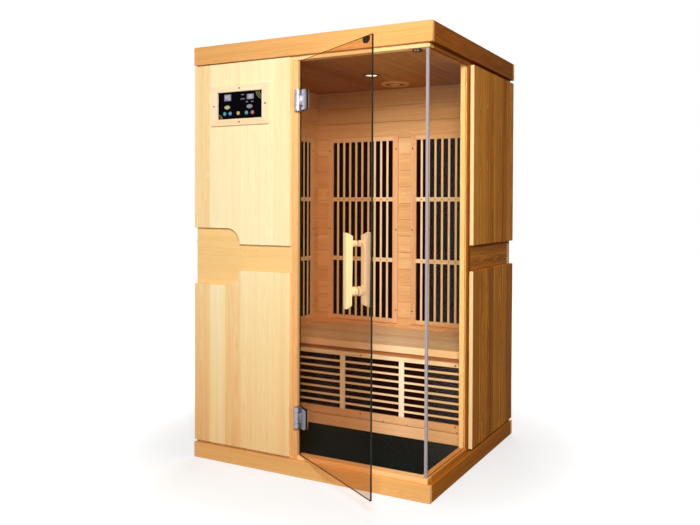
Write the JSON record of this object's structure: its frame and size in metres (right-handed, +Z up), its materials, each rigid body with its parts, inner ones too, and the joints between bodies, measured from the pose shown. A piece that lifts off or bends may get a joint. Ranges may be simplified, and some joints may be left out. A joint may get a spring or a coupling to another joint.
{
  "type": "infrared sauna cabin",
  "caption": "Upright wooden cabin with a bench, wall heaters behind slatted guards, a fixed side glass, a hinged glass door and a button panel.",
  "frame": {"origin": "on the floor, at the centre of the cabin's footprint, under the middle floor bearer", "axes": "+Z up, the front with the door faces -Y, +X to the right seen from the front"},
  "size_m": [1.2, 1.3385, 1.9],
  "materials": {
    "cladding_wood": "clear-sealed softwood planks, satin",
    "trim_wood": "clear-sealed softwood boards, satin",
    "inner_wood": "tongue-and-groove softwood boards, bare satin",
    "bench_wood": "planed softwood slats and boards, bare satin",
    "handle_wood": "shaped softwood, satin",
    "tinted_glass": "tempered glass, slight bronze-green tint",
    "clear_strip": "translucent strip",
    "chrome": "polished",
    "black_plastic": "smooth",
    "black_mat": "matte, fine texture",
    "heater_black": "black carbon sheet, matte",
    "lamp_white": "frosted diffuser in a satin ring",
    "vent_wood": "turned softwood",
    "box_steel": "folded sheet steel, light grey",
    "button_blue": "moulded",
    "button_amber": "moulded",
    "button_red": "moulded"
  },
  "bodies": {
    "cabin": {"skirt_front": "trim_wood", "fascia_front": "trim_wood", "skirt_back": "trim_wood", "fascia_back": "trim_wood", "skirt_left": "trim_wood", "fascia_left": "trim_wood", "skirt_right": "trim_wood", "fascia_right": "trim_wood", "floor_base": "inner_wood", "floor_mat": "black_mat", "threshold": "trim_wood", "glass_sill": "trim_wood", "head_rail_front": "trim_wood", "head_rail_right": "trim_wood", "left_wall": "inner_wood", "right_wall": "inner_wood", "front_wall": "inner_wood", "back_wall": "inner_wood", "door_jamb": "trim_wood", "glass_post": "trim_wood", "side_glass": "tinted_glass", "glass_edge_strip": "clear_strip", "roof_panel": "inner_wood", "power_box": "box_steel", "ceiling_lamp": "lamp_white", "ceiling_vent": "vent_wood", "bench_seat": "bench_wood", "bench_frame": "bench_wood", "control_bezel": "trim_wood", "control_plate": "black_plastic", "door_catch": "black_plastic", "hinge_leaf_lower": "chrome", "hinge_leaf_upper": "chrome", "front_cladding_upper": "cladding_wood", "front_cladding_lower": "cladding_wood", "left_cladding_upper": "cladding_wood", "left_cladding_lower": "cladding_wood", "right_cladding_upper": "cladding_wood", "right_cladding_lower": "cladding_wood", "back_left_heater_guard": "bench_wood", "back_left_heater": "heater_black", "back_right_heater_guard": "bench_wood", "back_right_heater": "heater_black", "left_heater_guard": "bench_wood", "left_heater": "heater_black", "right_heater_guard": "bench_wood", "right_heater": "heater_black", "bench_heater_guard": "bench_wood", "bench_heater": "heater_black"},
    "door": {"door_glass": "tinted_glass", "handle_outer": "handle_wood", "handle_inner": "handle_wood", "hinge_clamp_lower": "chrome", "hinge_clamp_upper": "chrome", "strike_plate": "black_plastic"},
    "temperature_up_button_body": {"temperature_up_button": "button_blue"},
    "temperature_down_button_body": {"temperature_down_button": "button_blue"},
    "power_button_body": {"power_button": "button_amber"},
    "time_up_button_body": {"time_up_button": "button_blue"},
    "time_down_button_body": {"time_down_button": "button_red"}
  },
  "joints": [
    {"name": "door_swing", "type": "hinge", "parent": "cabin", "child": "door", "pos_m": [-0.032, -0.518, 0.941], "axis": [0, 0, -1], "range_deg": [-31, 74]},
    {"name": "temperature_up_button_press", "type": "slide", "parent": "cabin", "child": "temperature_up_button_body", "axis": [0, 1, 0], "range_m": [0, 0.0012], "stiffness_N_per_m": 800},
    {"name": "temperature_down_button_press", "type": "slide", "parent": "cabin", "child": "temperature_down_button_body", "axis": [0, 1, 0], "range_m": [0, 0.0012], "stiffness_N_per_m": 800},
    {"name": "power_button_press", "type": "slide", "parent": "cabin", "child": "power_button_body", "axis": [0, 1, 0], "range_m": [0, 0.0012], "stiffness_N_per_m": 800},
    {"name": "time_up_button_press", "type": "slide", "parent": "cabin", "child": "time_up_button_body", "axis": [0, 1, 0], "range_m": [0, 0.0012], "stiffness_N_per_m": 800},
    {"name": "time_down_button_press", "type": "slide", "parent": "cabin", "child": "time_down_button_body", "axis": [0, 1, 0], "range_m": [0, 0.0012], "stiffness_N_per_m": 800}
  ]
}
